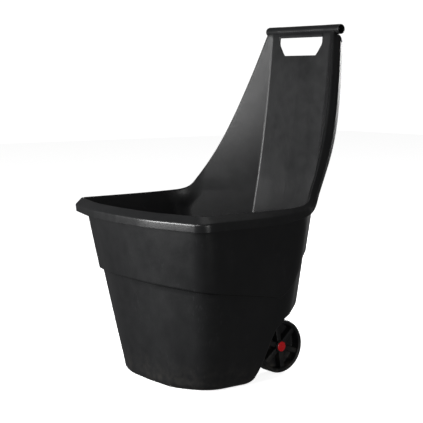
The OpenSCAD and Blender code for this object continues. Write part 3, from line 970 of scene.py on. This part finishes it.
def plastic(name, dark, light, rub, rough, grain_scale, grain_strength, dust_amount,
            specular=0.5, coat=0.0):
    """Principled plastic: base colour from clouds, rubs and dust, with a grain bump."""
    material = bpy.data.materials.new(name)
    material.use_nodes = True
    tree = material.node_tree
    shader = tree.nodes["Principled BSDF"]
    where = tree.nodes.new("ShaderNodeTexCoord").outputs["Object"]
    texture = tree.nodes.new("ShaderNodeGroup")
    texture.node_tree = grain
    texture.inputs["Grain Scale"].default_value = grain_scale
    tree.links.new(where, texture.inputs["Vector"])
    settled = tree.nodes.new("ShaderNodeGroup")
    settled.node_tree = dust
    tree.links.new(where, settled.inputs["Vector"])

    def blended(factor, first, second, amount=1.0):
        node = tree.nodes.new("ShaderNodeMix")
        node.data_type = "RGBA"
        weight = combine(tree, "MULTIPLY", factor, amount)
        tree.links.new(weight, node.inputs["Factor"])
        for socket, value in (("A_Color", first), ("B_Color", second)):
            target = next(s for s in node.inputs if s.identifier == socket)
            if isinstance(value, tuple):
                target.default_value = (*value, 1.0)
            else:
                tree.links.new(value, target)
        return next(s for s in node.outputs if s.identifier == "Result_Color")

    colour = blended(texture.outputs["Clouds"], dark, light)
    colour = blended(texture.outputs["Rubs"], colour, rub, 0.5)
    colour = blended(settled.outputs["Mask"], colour, dust_colour, dust_amount)
    tree.links.new(colour, shader.inputs["Base Color"])
    gloss = remap(tree, texture.outputs["Clouds"], 0.0, 1.0, rough - 0.04, rough + 0.05)
    dulled = combine(tree, "MULTIPLY", settled.outputs["Mask"], 0.3 * dust_amount)
    gloss = combine(tree, "ADD", gloss, dulled)
    tree.links.new(gloss, shader.inputs["Roughness"])
    relief = tree.nodes.new("ShaderNodeBump")
    relief.inputs["Strength"].default_value = grain_strength
    relief.inputs["Distance"].default_value = 0.0006
    tree.links.new(texture.outputs["Height"], relief.inputs["Height"])
    tree.links.new(relief.outputs["Normal"], shader.inputs["Normal"])
    shader.inputs["Specular IOR Level"].default_value = specular
    shader.inputs["Coat Weight"].default_value = coat
    shader.inputs["Coat Roughness"].default_value = 0.2
    return material


charcoal = plastic(
    "charcoal_polypropylene", dark=(0.0105, 0.0108, 0.0114), light=(0.0140, 0.0143, 0.0150),
    rub=(0.035, 0.036, 0.038), rough=0.33, grain_scale=1100.0, grain_strength=0.16, dust_amount=0.10)
tyre_black = plastic(
    "wheel_black", dark=(0.0085, 0.0088, 0.0095), light=(0.0125, 0.0128, 0.0135),
    rub=(0.04, 0.04, 0.04), rough=0.46, grain_scale=1400.0, grain_strength=0.3, dust_amount=0.35,
    specular=0.45)
cap_red = plastic(
    "signal_red", dark=(0.86, 0.010, 0.016), light=(0.93, 0.018, 0.026),
    rub=(0.9, 0.2, 0.18), rough=0.28, grain_scale=1600.0, grain_strength=0.08, dust_amount=0.05,
    coat=0.2)
print("plastics:", charcoal.name, tyre_black.name, cap_red.name)


# %% [markdown]
# ## Steel
#
# The axle is drawn bar with a thin zinc coat: grey, with fine rings round it from the
# drawing die. The push nuts are spring steel, darker and slightly blued.


# %% A metal with drawn marks
def metal(name, dark, light, rough, stretch_by):
    """Principled metal whose colour and roughness follow noise stretched round the bar."""
    material = bpy.data.materials.new(name)
    material.use_nodes = True
    tree = material.node_tree
    shader = tree.nodes["Principled BSDF"]
    where = tree.nodes.new("ShaderNodeTexCoord").outputs["Object"]
    mapping = tree.nodes.new("ShaderNodeMapping")
    mapping.inputs["Scale"].default_value = stretch_by
    tree.links.new(where, mapping.inputs["Vector"])
    marks = noise(tree, mapping.outputs["Vector"], 60.0, 5.0, 0.6)
    tone = tree.nodes.new("ShaderNodeValToRGB")
    for stop, position, shade in zip(tone.color_ramp.elements, (0.3, 0.7), (dark, light)):
        stop.position, stop.color = position, (*shade, 1)
    tree.links.new(marks, tone.inputs["Fac"])
    tree.links.new(tone.outputs["Color"], shader.inputs["Base Color"])
    gloss = remap(tree, marks, 0.3, 0.7, rough - 0.07, rough + 0.09)
    tree.links.new(gloss, shader.inputs["Roughness"])
    relief = tree.nodes.new("ShaderNodeBump")
    relief.inputs["Strength"].default_value = 0.15
    relief.inputs["Distance"].default_value = 0.0002
    tree.links.new(marks, relief.inputs["Height"])
    tree.links.new(relief.outputs["Normal"], shader.inputs["Normal"])
    shader.inputs["Metallic"].default_value = 1.0
    return material


zinc = metal("zinc_coated_steel", (0.42, 0.43, 0.44), (0.62, 0.63, 0.64), 0.36, (12.0, 1.0, 1.0))
spring = metal("blued_spring_steel", (0.16, 0.17, 0.20), (0.30, 0.31, 0.34), 0.30, (1.0, 4.0, 4.0))
print("metals:", zinc.name, spring.name)

# %% Dress the pieces and the CAD nodes
for piece in (tub, grip, tunnel):
    piece.data.materials.append(charcoal)
for label in ("left", "right"):
    wheels[label].data.materials.append(tyre_black)
    caps[label].data.materials.append(cap_red)
finishes = {"axle": zinc, "washers_inner": zinc, "washers_outer": zinc,
            "push_nut_left": spring, "push_nut_right": spring,
            "tub": charcoal, "wheel_left": tyre_black, "wheel_right": tyre_black,
            "hub_cap_left": cap_red, "hub_cap_right": cap_red}
for node, finish in finishes.items():
    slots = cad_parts[node].data.materials
    slots.clear()
    slots.append(finish)
print("dressed CAD nodes:", len(finishes))

# %% Hang each piece on the body it rides on and hide the CAD node it stands in for
for piece in (tub, grip, tunnel):
    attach(piece, "tub")
    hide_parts("tub")
for label in ("left", "right"):
    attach(wheels[label], f"wheel_{label}")
    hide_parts(f"wheel_{label}")
    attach(caps[label], f"wheel_{label}")
    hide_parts(f"hub_cap_{label}")
print("pieces ride on the tub and the wheels")

# %% [markdown]
# ## Studio
#
# The floor is plain and pale, and the room is white to the eye but dim in reflections, so
# the black plastic stays black. The floor stays out of reflections too. Soft lamps do the
# modelling: a low one at the front left for the front wall, a tall one behind on the left
# for the edges of rim and rails, a small one that the scoop's left wing mirrors, a low one
# on the right for the side and the wheel, and a wide one overhead that whitens the floor.

# %% Floor and room
floor_half = 9000.0
floor_points = np.array([[-1, -1, 0], [1, -1, 0], [1, 1, 0], [-1, 1, 0]], float) * floor_half
floor = add_piece("studio_floor", floor_points, np.array([[0, 1, 2, 3]]))
paper = bpy.data.materials.new("pale_paper")
paper.use_nodes = True
paper_shader = paper.node_tree.nodes["Principled BSDF"]
paper_tree = paper.node_tree
paper_where = paper_tree.nodes.new("ShaderNodeTexCoord").outputs["Object"]
paper_tone = remap(paper_tree, noise(paper_tree, paper_where, 3.0, 2.0), 0.3, 0.7, 0.93, 0.95)
paper_mix = paper_tree.nodes.new("ShaderNodeCombineColor")
for channel in ("Red", "Green", "Blue"):
    paper_tree.links.new(paper_tone, paper_mix.inputs[channel])
paper_tree.links.new(paper_mix.outputs["Color"], paper_shader.inputs["Base Color"])
paper_shader.inputs["Roughness"].default_value = 0.95
paper_shader.inputs["Specular IOR Level"].default_value = 0.0
paper_shader.inputs["Emission Color"].default_value = (1, 1, 1, 1)
paper_shader.inputs["Emission Strength"].default_value = 0.88
floor.data.materials.append(paper)
floor.visible_glossy = False
floor.visible_diffuse = False

world = bpy.data.worlds.new("white_room")
bpy.context.scene.world = world
world.use_nodes = True
room = world.node_tree
backdrop = room.nodes["Background"]
backdrop.inputs["Color"].default_value = (1, 1, 1, 1)
seen = room.nodes.new("ShaderNodeLightPath")
bright = room.nodes.new("ShaderNodeMath")
bright.operation = "MULTIPLY_ADD"
room.links.new(seen.outputs["Is Camera Ray"], bright.inputs[0])
added_for_eye, in_reflections = 0.97, 0.07
bright.inputs[1].default_value = added_for_eye
bright.inputs[2].default_value = in_reflections
room.links.new(bright.outputs[0], backdrop.inputs["Strength"])
bpy.context.scene.view_settings.view_transform = "Standard"
print("room ready")


# %% Lamps
def lamp(name, place, aim, size, power, tall=None):
    """A soft rectangular lamp at a place, turned to face a point."""
    data = bpy.data.lights.new(name, "AREA")
    data.shape = "RECTANGLE"
    data.size = size
    data.size_y = tall or size
    data.energy = power
    light = bpy.data.objects.new(name, data)
    x, y, z = (a - p for a, p in zip(aim, place))
    flat = math.hypot(x, y)
    light.rotation_euler = Euler((math.atan2(flat, -z), 0.0, math.atan2(-x, y)))
    light.location = place
    bpy.context.scene.collection.objects.link(light)
    return light


lamp("front_lamp", (-0.7, -2.2, 0.6), (0.0, 0.0, 0.2), 0.9, 60.0, 0.7)
lamp("back_lamp", (-1.25, 3.0, 1.0), (0.1, 0.1, 0.5), 0.7, 75.0, 1.3)
lamp("wing_lamp", (0.8, -2.8, 1.5), (0.0, 0.2, 0.6), 0.45, 26.0, 0.8)
lamp("side_fill", (3.4, -0.6, 0.35), (0.0, 0.0, 0.25), 0.9, 22.0, 0.6)
lamp("floor_wash", (0.0, 1.0, 7.0), (0.0, 1.0, 0.0), 6.0, 80.0)
